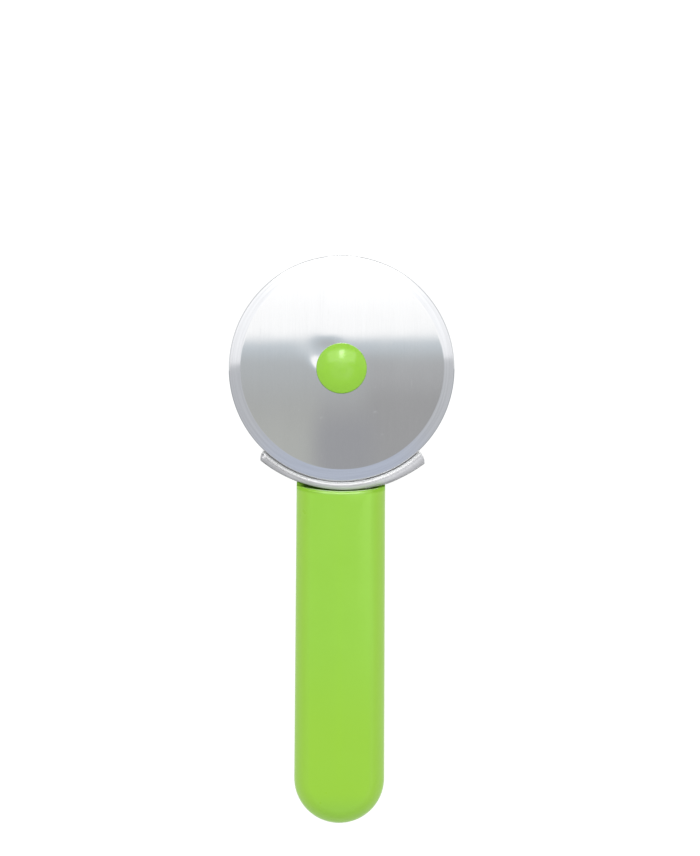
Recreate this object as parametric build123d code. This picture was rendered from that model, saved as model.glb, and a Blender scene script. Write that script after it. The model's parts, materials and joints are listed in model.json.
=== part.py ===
from build123d import *
import math
import os

# Hand-held pizza cutter wheel, lying on its back on a table.
#
# Frame: millimetres, +Z up (towards the side with the domed front cap), +Y from the
# handle towards the wheel, origin in the middle of the footprint on the table plane.
# Every piece is first modelled with the wheel's axle at x = y = 0 ("hub frame") and is
# moved by HUB_Y along +Y when it is written.
#
# Construction, from the table upwards at the hub:
#   rear cap - rivet collar - arm - rear bush flange - blade - front bush flange -
#   rivet head - front cap.
# The blade turns on two flanged half-bushes that are pressed into its bore and run on
# the rivet's ground shoulder. The arm passes behind the blade, through a slot in the
# curved finger guard, makes a joggle into the middle of the handle and ends as a tang
# between the two handle shells. Two self-tapping screws close the shells through the
# tang's holes, and the handle's neck clamps the guard against the arm's shoulders.

# ---------------------------------------------------------------- driving dimensions
HUB_Y = 52.75            # axle position along the object's length

BLADE_R = 35.0           # 70 mm wheel
BLADE_T = 1.0
BEVEL_W = 3.6            # ground bevel on both sides
EDGE_LAND = 0.14         # flat left at the cutting edge
BLADE_Z = 5.95           # rear face of the blade
BLADE_BORE_R = 3.5

CAP_R = 7.85             # domed snap-on hub caps, front and rear alike
CAP_H = 3.6
CAP_RIM = 0.7            # height at which the dome would meet the cap's side
CAP_RIM_R = 0.8          # round between dome and side
CAP_WALL = 1.0
CAP_FRONT_Z = 7.25       # rim plane of the front cap, 0.3 clear of the blade
CAP_REAR_Z = 3.6         # rim plane of the rear cap, on the arm's back face

RIVET_SHOULDER_R = 2.5
RIVET_SHANK_R = 2.0
RIVET_NECK_R = 3.5
RIVET_HEAD_R = 3.9
RIVET_HEAD_Z = 7.80      # underside of the head

BUSH_BORE_R = 2.54       # 0.04 running clearance on the shoulder
BUSH_FLANGE_R = 5.5
BUSH_FLANGE_T = 0.8

ARM_T = 1.5
ARM_Z = 3.6              # back face of the arm behind the blade
ARM_W = 15.0
ARM_END_R = 8.3
TANG_W = 12.0
TANG_Z = 5.75            # back face of the tang, after the joggle
TANG_END = -97.0
JOGGLE_A = -38.2         # where the joggle starts and ends, along y
JOGGLE_B = -41.4
HOLE_Y = (-46.1, -80.0)  # tang holes, screws and bosses
TANG_HOLE_R = 2.2

GUARD_R = 35.25          # blade side of the guard, 0.25 clear of the cutting edge
GUARD_C = (0.04, 0.0)    # its centre
GUARD_T = 1.0
GUARD_BEND_R = 1.2       # outer bend radius of both rolled lips
GUARD_FALL_R = 7.5       # crown of the lips beyond the bend, falling away towards the handle
GUARD_Z0 = 0.8           # even about the arm, its front lip just above the wheel's face
GUARD_Z1 = 7.9
LIP_R = 41.48            # arc that trims both lips
LIP_C = (0.90, 3.76)     # its centre
SLOT_HALF = 6.1

HANDLE_T = 13.0
HANDLE_HW_TOP = 13.7     # half width under the guard
HANDLE_HW_END = 13.9     # half width and end radius at the far end
HANDLE_END_Y = -126.6    # centre of the rounded end
TOP_R = 62.0             # arc of the handle's shoulder, which leaves a groove of 0.2 to 1.2
TOP_C = (0.38, 24.08)   # below the guard's lip; its centre is near the handle's centre line
EDGE_R = 5.0             # long edges
SHOULDER_R = 1.0         # edge round at the guard, which runs out towards the square corners
GROOVE_FRONT = 2.0       # depth of the groove between lip and shoulder, from the lip's crest
GROOVE_BACK = 1.5
CROWN_R = 170.0          # slight crown across the front face
WALL = 2.3
CAVITY_Z0 = 2.2
CAVITY_Z1 = 10.8
PARTING_Z = 6.5
SEAM_W = 0.2             # small step that both shells leave at the parting line
SEAM_D = 0.15

SCREW_HEAD_Z = 0.7       # head recessed below the back face
SCREW_SEAT_Z = 2.6
SCREW_END_Z = 9.6

os.makedirs("parts", exist_ok=True)


# ------------------------------------------------------------------------ helpers
def lathe(points):
    """Closed (r, z) polygon turned about the axle."""
    face = make_face(Plane.XZ * Polyline(*[(r, z) for r, z in points], close=True))
    return revolve(face, Axis.Z)


def box(x0, x1, y0, y1, z0, z1):
    return Pos((x0 + x1) / 2, (y0 + y1) / 2, (z0 + z1) / 2) * Box(x1 - x0, y1 - y0, z1 - z0)


def rod(x, y, r, z0, z1):
    return Pos(x, y, (z0 + z1) / 2) * Cylinder(r, z1 - z0)


def write(name, shape):
    moved = Pos(0, HUB_Y, 0) * shape
    solids = moved.solids()
    out = solids[0] if len(solids) == 1 else Compound(children=list(solids))
    export_step(out, f"parts/{name}.step")
    print(f"{name:20s} solids {len(solids)} volume {sum(s.volume for s in solids):9.1f} valid {all(s.is_valid for s in solids)}")


# -------------------------------------------------------------------------- blade
zm = BLADE_Z + BLADE_T / 2
blade = lathe([
    (BLADE_BORE_R, BLADE_Z), (BLADE_R - BEVEL_W, BLADE_Z),
    (BLADE_R, zm - EDGE_LAND / 2), (BLADE_R, zm + EDGE_LAND / 2),
    (BLADE_R - BEVEL_W, BLADE_Z + BLADE_T), (BLADE_BORE_R, BLADE_Z + BLADE_T),
])
write("blade", blade)

# ---------------------------------------------------- flanged half-bushes in the blade
rear_bush = lathe([
    (BUSH_BORE_R, BLADE_Z - BUSH_FLANGE_T), (BUSH_FLANGE_R - 0.2, BLADE_Z - BUSH_FLANGE_T),
    (BUSH_FLANGE_R, BLADE_Z - BUSH_FLANGE_T + 0.2), (BUSH_FLANGE_R, BLADE_Z),
    (BLADE_BORE_R, BLADE_Z), (BLADE_BORE_R, zm), (BUSH_BORE_R, zm),
])
write("rear_bush", rear_bush)

top = BLADE_Z + BLADE_T
front_bush = lathe([
    (BUSH_BORE_R, zm), (BLADE_BORE_R, zm), (BLADE_BORE_R, top), (BUSH_FLANGE_R, top),
    (BUSH_FLANGE_R, top + BUSH_FLANGE_T - 0.2), (BUSH_FLANGE_R - 0.2, top + BUSH_FLANGE_T),
    (BUSH_BORE_R, top + BUSH_FLANGE_T),
])
write("front_bush", front_bush)

# ------------------------------------------------------------------- shoulder rivet
dome_r = (CAP_R**2 + (CAP_H - CAP_RIM) ** 2) / (2 * (CAP_H - CAP_RIM))
dome_c = CAP_H - dome_r                     # dome centre above the rim plane
head_dome = dome_r - CAP_WALL - 0.2         # the head's crown stays 0.2 off the cap


def dome_z(radius, r):
    return dome_c + math.sqrt(radius**2 - r**2)


arm_front = ARM_Z + ARM_T
with BuildPart() as rivet_part:
    with BuildSketch(Plane.XZ):
        with BuildLine():
            zt = CAP_FRONT_Z
            p_top = (0, zt + dome_z(head_dome, 0))
            p_mid = (RIVET_HEAD_R / 2, zt + dome_z(head_dome, RIVET_HEAD_R / 2))
            p_rim = (RIVET_HEAD_R, zt + dome_z(head_dome, RIVET_HEAD_R))
            ThreePointArc(p_top, p_mid, p_rim)
            Polyline(
                p_rim, (RIVET_HEAD_R, zt + 1.35), (RIVET_NECK_R, zt + 1.18),
                (RIVET_NECK_R, RIVET_HEAD_Z), (RIVET_SHOULDER_R, RIVET_HEAD_Z),
                (RIVET_SHOULDER_R, arm_front), (RIVET_SHANK_R, arm_front),
                (RIVET_SHANK_R, ARM_Z - 1.25), (RIVET_SHANK_R + 0.8, ARM_Z - 1.75),
                (RIVET_SHANK_R + 0.2, ARM_Z - 2.05), (0, ARM_Z - 2.1), p_top,
            )
        make_face()
    revolve(axis=Axis.Z)
axle_rivet = rivet_part.part
write("axle_rivet", axle_rivet)

rivet_collar = lathe([
    (RIVET_SHANK_R, ARM_Z), (RIVET_NECK_R, ARM_Z), (RIVET_NECK_R, ARM_Z - 1.18),
    (RIVET_HEAD_R, ARM_Z - 1.35), (RIVET_HEAD_R, ARM_Z - 1.6), (RIVET_HEAD_R - 0.15, ARM_Z - 1.75),
    (RIVET_SHANK_R + 0.8, ARM_Z - 1.75), (RIVET_SHANK_R, ARM_Z - 1.25),
])
write("rivet_collar", rivet_collar)


# ----------------------------------------------------------------- domed hub caps
def hub_cap():
    """Rim plane at z = 0, dome upwards: shell, snap ring and its inward bead."""
    wall_r = dome_r - CAP_WALL
    rim_in = CAP_R - CAP_WALL - 0.1
    with BuildPart() as p:
        with BuildSketch(Plane.XZ):
            with BuildLine():
                rt = (CAP_R - CAP_RIM_R) / (1 - CAP_RIM_R / dome_r)      # where the dome meets the rim's round
                phi = math.asin(rt / dome_r)
                mid = (phi + math.pi / 2) / 2
                zc = dome_z(dome_r, rt) - CAP_RIM_R * math.cos(phi)
                ThreePointArc((0, CAP_H), (CAP_R / 2, dome_z(dome_r, CAP_R / 2)), (rt, dome_z(dome_r, rt)))
                ThreePointArc(
                    (rt, dome_z(dome_r, rt)),
                    (CAP_R - CAP_RIM_R + CAP_RIM_R * math.sin(mid), zc + CAP_RIM_R * math.cos(mid)),
                    (CAP_R, zc),
                )
                Polyline((CAP_R, zc), (CAP_R, 0.15), (CAP_R - 0.15, 0), (rim_in, 0), (rim_in, dome_z(wall_r, rim_in)))
                a, b = RIVET_HEAD_R + 1.0, RIVET_HEAD_R + 0.06
                ThreePointArc((rim_in, dome_z(wall_r, rim_in)), ((rim_in + a) / 2, dome_z(wall_r, (rim_in + a) / 2)), (a, dome_z(wall_r, a)))
                Polyline(
                    (a, dome_z(wall_r, a)), (a, 0.65), (RIVET_NECK_R + 0.2, 0.65), (RIVET_NECK_R + 0.06, 0.8),
                    (RIVET_NECK_R + 0.06, 1.1), (b, 1.3), (b, dome_z(wall_r, b)),
                )
                ThreePointArc((b, dome_z(wall_r, b)), (b / 2, dome_z(wall_r, b / 2)), (0, dome_z(wall_r, 0)))
                Line((0, dome_z(wall_r, 0)), (0, CAP_H))
            make_face()
        revolve(axis=Axis.Z)
    return p.part


cap = hub_cap()
write("front_cap", Pos(0, 0, CAP_FRONT_Z) * cap)
write("rear_cap", Pos(0, 0, CAP_REAR_Z) * Rot(180, 0, 0) * cap)

# ---------------------------------------------------------------- arm with tang
# Side view (y, z) of the bent strip, as a centre line thickened by ARM_T, times the
# outline seen from the front.
za, zb = ARM_Z, TANG_Z


def strip_side(t_extra=0.0):
    lo, hi = -t_extra, ARM_T + t_extra
    slope = math.atan2(zb - za, JOGGLE_A - JOGGLE_B)
    k = ARM_T * math.tan(slope / 2) / 2
    pts = [
        (20, za + lo), (JOGGLE_A + k, za + lo), (JOGGLE_B + k, zb + lo), (-150, zb + lo),
        (-150, zb + hi), (JOGGLE_B - k, zb + hi), (JOGGLE_A - k, za + hi), (20, za + hi),
    ]
    face = make_face(Plane.YZ * Polyline(*pts, close=True))
    solid = extrude(face, 40, both=True)
    # bend radii at the joggle, larger on the outside of each bend
    for y, z, r in (
        (JOGGLE_A + k, za + lo, 1.0 + ARM_T), (JOGGLE_A - k, za + hi, 1.0),
        (JOGGLE_B + k, zb + lo, 1.0), (JOGGLE_B - k, zb + hi, 1.0 + ARM_T),
    ):
        e = [e for e in solid.edges() if abs(e.center().Y - y) < 0.01 and abs(e.center().Z - z) < 0.01 and e.length > 30]
        solid = fillet(e, r)
    return solid


arm_flat = extrude(
    (Circle(ARM_END_R) + Pos(0, -20) * Rectangle(ARM_W, 40)) & Pos(*GUARD_C) * Circle(GUARD_R - 0.05), 20
)
tang_flat = box(-TANG_W / 2, TANG_W / 2, TANG_END, -30, 0, 20)
tang_corners = tang_flat.edges().filter_by(Axis.Z).group_by(Axis.Y)[0]
tang_flat = fillet(tang_corners, 2.5)
arm = (arm_flat + tang_flat) & strip_side()
for y in HOLE_Y:
    arm -= rod(0, y, TANG_HOLE_R, 0, 20)
arm -= rod(0, 0, RIVET_SHANK_R, 0, 20)
write("support_arm", arm)

# -------------------------------------------------------------------- finger guard
# Channel section rolled round the blade, then trimmed.
g0, g1, gb, gt, gf, far = GUARD_Z0, GUARD_Z1, GUARD_BEND_R, GUARD_T, GUARD_FALL_R, 40.0
c45 = math.sqrt(0.5)
ro = GUARD_R + gb            # radius of the lips' crest


def fall(radius, r):
    """How far a lip surface of this crown radius has dropped below the crest at radius r."""
    return gf - math.sqrt(radius**2 - (r - ro) ** 2)


with BuildPart() as guard_part:
    with BuildSketch(Plane.XZ):
        with BuildLine():
            gi = gb - gt
            mid = (ro + far) / 2
            out_far, out_mid = fall(gf, far), fall(gf, mid)
            in_far, in_mid = fall(gf - gt, far), fall(gf - gt, mid)
            ThreePointArc((far, g1 - out_far), (mid, g1 - out_mid), (ro, g1))
            ThreePointArc((ro, g1), (ro - gb * c45, g1 - gb + gb * c45), (GUARD_R, g1 - gb))
            Line((GUARD_R, g1 - gb), (GUARD_R, g0 + gb))
            ThreePointArc((GUARD_R, g0 + gb), (ro - gb * c45, g0 + gb - gb * c45), (ro, g0))
            ThreePointArc((ro, g0), (mid, g0 + out_mid), (far, g0 + out_far))
            Line((far, g0 + out_far), (far, g0 + in_far))
            ThreePointArc((far, g0 + in_far), (mid, g0 + in_mid), (ro, g0 + gt))
            ThreePointArc((ro, g0 + gt), (ro - gi * c45, g0 + gb - gi * c45), (GUARD_R + gt, g0 + gb))
            Line((GUARD_R + gt, g0 + gb), (GUARD_R + gt, g1 - gb))
            ThreePointArc((GUARD_R + gt, g1 - gb), (ro - gi * c45, g1 - gb + gi * c45), (ro, g1 - gt))
            ThreePointArc((ro, g1 - gt), (mid, g1 - in_mid), (far, g1 - in_far))
            Line((far, g1 - in_far), (far, g1 - out_far))
        make_face()
    revolve(axis=Axis.Z, revolution_arc=104)
guard = Pos(GUARD_C[0], GUARD_C[1], 0) * Rot(0, 0, -142) * guard_part.part

lip_disc = Pos(LIP_C[0], LIP_C[1], 7) * Cylinder(LIP_R, 30)
guard = guard & lip_disc


def end_cutter(points, far_x):
    with BuildPart() as p:
        with BuildSketch(Plane.XY.offset(-5)):
            with BuildLine():
                start = (points[0][0] * 0.8, points[0][1] * 0.8)
                Line(start, points[0])
                Spline(*points)
                Polyline(points[-1], (points[-1][0], -50), (far_x, -50), (far_x, start[1]), start)
            make_face()
        extrude(amount=25)
    return p.part


RIGHT_END = [(24.25, -25.35), (25.27, -26.89), (25.74, -27.99), (25.81, -29.28)]
LEFT_END = [(-23.83, -25.19), (-24.66, -26.59), (-24.94, -27.69), (-24.86, -28.89)]
guard -= end_cutter(RIGHT_END, 60)
guard -= end_cutter(LEFT_END, -60)
guard -= box(-SLOT_HALF, SLOT_HALF, -40, -30, ARM_Z - 0.15, ARM_Z + ARM_T + 0.15)
write("finger_guard", guard)


# -------------------------------------------------------------------- handle shells
def outline(d, top):
    """Handle outline inset by d, running up past the shoulder to y = top."""
    # half width falls linearly from the end to the guard
    slope = (HANDLE_HW_END - HANDLE_HW_TOP) / (HANDLE_END_Y + 37.5)
    hw_top = HANDLE_HW_TOP + slope * (top + 37.5) - d
    hw_end = HANDLE_HW_END - d
    with BuildSketch() as s:
        with BuildLine():
            Polyline((-hw_end, HANDLE_END_Y), (-hw_top, top), (hw_top, top), (hw_end, HANDLE_END_Y))
            ThreePointArc((hw_end, HANDLE_END_Y), (0, HANDLE_END_Y - hw_end), (-hw_end, HANDLE_END_Y))
        make_face()
    return s.sketch


def above_shoulder(d, z0=-5, z1=25):
    """Everything on the blade's side of the shoulder arc, inset by d."""
    return rod(TOP_C[0], TOP_C[1], TOP_R + d, z0, z1)


def slab(d, z0, z1):
    return Pos(0, 0, z0) * extrude(outline(d, -28), z1 - z0) - above_shoulder(d)


def handle_section(hw):
    """Half of the handle's cross-section at half width hw: flat back, R5 edges, crowned front."""
    cx = hw - EDGE_R
    cz = HANDLE_T - CROWN_R
    zc = cz + math.sqrt((CROWN_R - EDGE_R) ** 2 - cx**2)
    k = CROWN_R / (CROWN_R - EDGE_R)
    tangent = (cx * k, cz + (zc - cz) * k)
    mid = math.atan2(tangent[1] - zc, tangent[0] - cx) / 2
    half = math.asin(tangent[0] / CROWN_R) / 2
    with BuildSketch(Plane.XZ) as s:
        with BuildLine():
            ThreePointArc((0, HANDLE_T), (CROWN_R * math.sin(half), cz + CROWN_R * math.cos(half)), tangent)
            ThreePointArc(tangent, (cx + EDGE_R * math.cos(mid), zc + EDGE_R * math.sin(mid)), (hw, zc))
            Line((hw, zc), (hw, EDGE_R))
            ThreePointArc((hw, EDGE_R), (cx + EDGE_R * c45, EDGE_R - EDGE_R * c45), (cx, 0))
            Line((cx, 0), (0, 0))
            Line((0, 0), (0, HANDLE_T))
        make_face()
    return s.sketch


BAR = 100.0
taper = (HANDLE_HW_END - HANDLE_HW_TOP) / (-37.5 - HANDLE_END_Y)
at_end = handle_section(HANDLE_HW_END)
at_top = handle_section(HANDLE_HW_END - taper * BAR)
round_end = revolve(at_end, Axis.Z, 180)
if round_end.bounding_box().max.Y > 1:
    round_end = Rot(0, 0, 180) * round_end
bar = loft(
    [(at_end + mirror(at_end, Plane.YZ)).faces()[0], Pos(0, BAR, 0) * (at_top + mirror(at_top, Plane.YZ)).faces()[0]],
    ruled=True,
)
bar = Pos(0, HANDLE_END_Y, 0) * bar
body = bar + Pos(0, HANDLE_END_Y, 0) * round_end
body = body - above_shoulder(0)


def shoulder_round(y, z, up, centre, axis):
    """Cutter that rounds the shoulder's edge at (y, z), turned about a line through centre."""
    r = SHOULDER_R
    with BuildPart() as p:
        with BuildSketch(Plane.YZ.offset(TOP_C[0])):
            with BuildLine():
                ThreePointArc((y, z - up * r), (y - r + r * c45, z - up * (r - r * c45)), (y - r, z))
                Polyline((y - r, z), (y - r, z + up), (y + 1, z + up), (y + 1, z - up * r), (y, z - up * r))
            make_face()
        revolve(axis=Axis(centre, axis), revolution_arc=40)
    return p.part.rotate(Axis(centre, axis), -20)


# the front edge lies on the crown, so its round is turned about a line that leans with it
ky, kz = 1 / (TOP_R + SHOULDER_R), 1 / (CROWN_R - SHOULDER_R)
lean, ring = math.atan2(kz, ky), 1 / math.hypot(ky, kz)
shoulder_y = TOP_C[1] - TOP_R
body -= shoulder_round(
    shoulder_y, HANDLE_T, 1,
    (TOP_C[0], shoulder_y - SHOULDER_R + ring * math.cos(lean), HANDLE_T - SHOULDER_R - ring * math.sin(lean)),
    (0, math.sin(lean), math.cos(lean)),
)
body -= shoulder_round(shoulder_y, 0.0, -1, (TOP_C[0], TOP_C[1], 0), (0, 0, 1))

# neck inside the guard, turned round the axle; it stays well below the lips, which leaves
# a deep narrow groove between lip and shoulder
nz0, nz1, nr, nc = GUARD_Z0 + GROOVE_BACK, GUARD_Z1 - GROOVE_FRONT, GUARD_R + GUARD_T + 0.1, 1.0
with BuildPart() as neck_part:
    with BuildSketch(Plane.XZ):
        with BuildLine():
            Line((48, nz1), (nr + nc, nz1))
            ThreePointArc((nr + nc, nz1), (nr + nc - nc * c45, nz1 - nc + nc * c45), (nr, nz1 - nc))
            Line((nr, nz1 - nc), (nr, nz0 + nc))
            ThreePointArc((nr, nz0 + nc), (nr + nc - nc * c45, nz0 + nc - nc * c45), (nr + nc, nz0))
            Line((nr + nc, nz0), (48, nz0))
            Line((48, nz0), (48, nz1))
        make_face()
    revolve(axis=Axis.Z, revolution_arc=80)
neck = Pos(GUARD_C[0], GUARD_C[1], 0) * Rot(0, 0, -130) * neck_part.part
neck = neck & box(-20, 20, -41.0, -20, 0, 20) & bar

cavity = slab(WALL, CAVITY_Z0, CAVITY_Z1)
cav_edges = [e for e in cavity.edges() if abs(e.center().Z - CAVITY_Z0) < 0.01 or abs(e.center().Z - CAVITY_Z1) < 0.01]
cavity = chamfer(cav_edges, 1.6)

hollow = (body + neck) - cavity

# cross ribs; the tang's own pocket is cut out of them afterwards
RIB_T = 1.4
ribs = None
for y in (-56.5, -67.5, -92.0, -103.0, -113.5, -124.0):
    r = box(-20, 20, y - RIB_T / 2, y + RIB_T / 2, CAVITY_Z0 - 0.5, CAVITY_Z1 + 0.5)
    ribs = r if ribs is None else ribs + r
inner = slab(WALL - 0.6, CAVITY_Z0 - 0.4, CAVITY_Z1 + 0.4)
ribs = ribs & inner
# lighten the ribs that the tang doesn't reach: a round window for even wall cooling
for y in (-103.0, -113.5, -124.0):
    ribs -= Pos(0, y, PARTING_Z) * Rot(90, 0, 0) * Cylinder(2.6, 4)
spine = box(-RIB_T / 2, RIB_T / 2, -134.0, TANG_END - 3.5, CAVITY_Z0 - 0.5, PARTING_Z - 1.6) & inner
spine_top = box(-RIB_T / 2, RIB_T / 2, -134.0, TANG_END - 3.5, PARTING_Z + 1.6, CAVITY_Z1 + 0.5) & inner

tang_pocket = box(-TANG_W / 2 - 0.1, TANG_W / 2 + 0.1, TANG_END - 0.6, -44.0, TANG_Z - 0.05, TANG_Z + ARM_T + 0.05)
passage = (
    box(-SLOT_HALF, SLOT_HALF, -44.5, JOGGLE_A - 0.15, ARM_Z - 0.1, TANG_Z + ARM_T + 0.1)
    + box(-SLOT_HALF, SLOT_HALF, JOGGLE_A - 1, -28.0, ARM_Z - 0.1, ARM_Z + ARM_T + 0.1)
)
whole = hollow + ribs + spine + spine_top
whole = whole - tang_pocket - passage
seam = box(-20, 20, -145, -42, PARTING_Z - SEAM_W / 2, PARTING_Z + SEAM_W / 2) - slab(SEAM_D, PARTING_Z - 1, PARTING_Z + 1)
whole = whole - seam

lower = box(-40, 40, -160, 0, -5, PARTING_Z)
upper = box(-40, 40, -160, 0, PARTING_Z, 30)
back_shell = whole & lower
front_shell = whole & upper

# tongue on the back shell, groove in the front shell
tongue = slab(0.95, PARTING_Z - 0.3, PARTING_Z + 0.7) - slab(1.65, PARTING_Z - 0.5, PARTING_Z + 1.0)
groove = slab(0.90, PARTING_Z - 0.5, PARTING_Z + 0.78) - slab(1.70, PARTING_Z - 1.0, PARTING_Z + 1.2)
gate = box(-SLOT_HALF - 1.5, SLOT_HALF + 1.5, -45, -28, 0, 20)   # no tongue where the arm enters
tongue = tongue - gate
groove = groove - gate
back_shell = back_shell + tongue
front_shell = front_shell - groove

# ------------------------------------------------------------ self-tapping screws
def screw():
    """Pan head down, point up, axis at x = y = 0."""
    z, pitch, root, crest = SCREW_SEAT_Z, 1.1, 1.15, 1.45
    pts = [(0, SCREW_HEAD_Z), (1.7, SCREW_HEAD_Z), (2.35, SCREW_HEAD_Z + 0.25), (2.75, SCREW_HEAD_Z + 0.9), (2.75, z), (root, z)]
    t = z + 0.5
    while t + pitch < SCREW_END_Z - 0.8:
        pts += [(root, t), (crest, t + pitch * 0.35), (crest, t + pitch * 0.45), (root, t + pitch * 0.8)]
        t += pitch
    pts += [(root, SCREW_END_Z - 0.7), (0, SCREW_END_Z)]
    s = lathe(pts)
    cross = Box(3.0, 0.7, 2.2) + Box(0.7, 3.0, 2.2)
    return s - Pos(0, 0, SCREW_HEAD_Z) * cross


one = screw()

for y in HOLE_Y:
    # back: boss with counterbore and clearance hole up to the tang
    back_shell += rod(0, y, 4.3, CAVITY_Z0 - 0.5, TANG_Z - 0.05)
    back_shell -= rod(0, y, 3.1, -1, SCREW_SEAT_Z)
    back_shell -= rod(0, y, 1.6, 0, TANG_Z + 1)
    # front: boss down to the tang, with a spigot through the tang's hole
    front_shell += rod(0, y, 3.4, TANG_Z + ARM_T + 0.05, CAVITY_Z1 + 0.5)
    front_shell += rod(0, y, 2.0, TANG_Z + 0.2, CAVITY_Z1)
    front_shell -= rod(0, y, 1.2, TANG_Z - 1, SCREW_END_Z + 0.6)
    front_shell -= Pos(0, y, 0) * one        # the thread that the screw forms in the boss
write("handle_front_shell", front_shell)
write("handle_back_shell", back_shell)
write("handle_screws", Compound(children=[Pos(0, y, 0) * one for y in HOLE_Y]))
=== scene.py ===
import json
import math

import bmesh
import bpy
import numpy as np
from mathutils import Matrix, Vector

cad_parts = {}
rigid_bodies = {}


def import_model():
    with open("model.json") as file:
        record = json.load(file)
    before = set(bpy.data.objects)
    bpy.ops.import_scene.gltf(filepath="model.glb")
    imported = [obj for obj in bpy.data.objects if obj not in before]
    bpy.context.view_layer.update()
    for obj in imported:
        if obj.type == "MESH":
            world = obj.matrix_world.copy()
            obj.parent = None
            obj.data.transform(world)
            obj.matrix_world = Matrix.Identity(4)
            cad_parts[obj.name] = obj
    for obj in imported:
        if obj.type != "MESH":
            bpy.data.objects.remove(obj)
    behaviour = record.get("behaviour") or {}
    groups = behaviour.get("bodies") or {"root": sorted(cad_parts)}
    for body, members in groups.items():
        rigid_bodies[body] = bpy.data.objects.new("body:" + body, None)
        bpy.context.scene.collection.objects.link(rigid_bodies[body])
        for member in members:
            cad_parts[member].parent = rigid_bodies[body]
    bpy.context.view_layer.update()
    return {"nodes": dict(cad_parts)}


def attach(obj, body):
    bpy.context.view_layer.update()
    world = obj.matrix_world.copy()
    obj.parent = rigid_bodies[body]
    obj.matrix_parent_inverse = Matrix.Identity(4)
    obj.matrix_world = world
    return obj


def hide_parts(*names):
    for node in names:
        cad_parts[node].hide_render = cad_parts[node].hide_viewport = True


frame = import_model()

NODES = frame["nodes"]
MM = 0.001

# ------------------------------------------------------------------ shared dimensions
# All in millimetres, in the row frame. The axle stands at x = 0, y = HUB_Y.
HUB_Y = 52.75
BLADE_R = 35.0
BLADE_Z0, BLADE_Z1 = 5.95, 6.95
BORE_R = 3.5
EDGE_LAND = 0.06
BEVEL_R, BEVEL_CX, BEVEL_CY = 31.54, 0.15, 0.28     # inner edge of the ground bevel
HONE_W, HONE_DROP = 0.30, 0.195                     # narrow honed facet at the cutting edge
GUARD_R, GUARD_C, GUARD_T = 35.25, (0.04, 0.0), 1.0
GUARD_Z0, GUARD_Z1 = 0.8, 7.9
GUARD_BEND_R, GUARD_FALL_R, SLOT_HALF = 1.2, 7.5, 6.1
LIP_R, LIP_C = 41.48, (0.90, 3.76)
TOP_R, TOP_C = 62.0, (0.38, 24.08)                  # the handle's shoulder
HANDLE_END_Y = -126.6                               # centre of its rounded end
HANDLE_T, HANDLE_HW_TOP, HANDLE_HW_END = 13.0, 13.7, 13.9
HANDLE_EDGE_R, CROWN_R, SHOULDER_R = 5.0, 170.0, 1.0
RIGHT_END = [(24.25, -25.35), (25.27, -26.89), (25.74, -27.99), (25.81, -29.28)]
LEFT_END = [(-23.83, -25.19), (-24.66, -26.59), (-24.94, -27.69), (-24.86, -28.89)]


# ------------------------------------------------------------------ node graph helper
class Graph:
    """Builds a node tree. Every method adds one node and returns its output socket."""

    def __init__(self, tree):
        self.tree = tree

    def add(self, kind, inputs=None, **props):
        n = self.tree.nodes.new(kind)
        for k, v in props.items():
            setattr(n, k, v)
        for k, v in (inputs or {}).items():
            s = n.inputs[k]
            if isinstance(v, bpy.types.NodeSocket):
                self.tree.links.new(v, s)
            else:
                s.default_value = v
        return n

    def math(self, op, a, b=None, c=None, clamp=False):
        ins = {0: a}
        if b is not None:
            ins[1] = b
        if c is not None:
            ins[2] = c
        return self.add("ShaderNodeMath", ins, operation=op, use_clamp=clamp).outputs[0]

    def plus(self, a, b):
        return self.math("ADD", a, b)

    def minus(self, a, b):
        return self.math("SUBTRACT", a, b)

    def times(self, a, b):
        return self.math("MULTIPLY", a, b)

    def remap(self, v, a, b, lo=0.0, hi=1.0, kind="SMOOTHSTEP"):
        n = self.add("ShaderNodeMapRange", interpolation_type=kind, clamp=True)
        for i, x in enumerate((v, a, b, lo, hi)):
            if isinstance(x, bpy.types.NodeSocket):
                self.tree.links.new(x, n.inputs[i])
            else:
                n.inputs[i].default_value = x
        return n.outputs[0]

    def mix(self, f, a, b):
        n = self.add("ShaderNodeMix", data_type="RGBA", blend_type="MIX")
        for s, v in ((n.inputs[0], f), (n.inputs[6], a), (n.inputs[7], b)):
            if isinstance(v, bpy.types.NodeSocket):
                self.tree.links.new(v, s)
            elif hasattr(v, "__len__"):
                s.default_value = (*v[:3], 1.0)
            else:
                s.default_value = v
        return n.outputs[2]

    def shade(self, colour, value):
        """Colour multiplied by a value."""
        n = self.add("ShaderNodeMix", data_type="RGBA", blend_type="MULTIPLY")
        n.inputs[0].default_value = 1.0
        self.tree.links.new(colour, n.inputs[6])
        self.tree.links.new(value, n.inputs[7])
        return n.outputs[2]

    def xyz(self, v):
        n = self.add("ShaderNodeSeparateXYZ", {0: v})
        return n.outputs[0], n.outputs[1], n.outputs[2]

    def vec(self, x, y, z):
        return self.add("ShaderNodeCombineXYZ", {0: x, 1: y, 2: z}).outputs[0]

    def noise(self, coord, scale, detail=2.0, rough=0.5):
        n = self.add("ShaderNodeTexNoise", {"Scale": scale, "Detail": detail, "Roughness": rough})
        self.tree.links.new(coord, n.inputs["Vector"])
        return n.outputs["Fac"]

    def bump(self, height, strength, distance, normal=None):
        n = self.add("ShaderNodeBump", {"Strength": strength, "Distance": distance, "Height": height})
        if normal is not None:
            self.tree.links.new(normal, n.inputs["Normal"])
        return n.outputs[0]


def material(name):
    m = bpy.data.materials.new(name)
    m.use_nodes = True
    m.node_tree.nodes.clear()
    g = Graph(m.node_tree)
    out = g.add("ShaderNodeOutputMaterial")
    bsdf = g.add("ShaderNodeBsdfPrincipled")
    m.node_tree.links.new(bsdf.outputs[0], out.inputs["Surface"])
    coord = g.add("ShaderNodeTexCoord").outputs["Object"]
    return m, g, bsdf, coord


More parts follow.
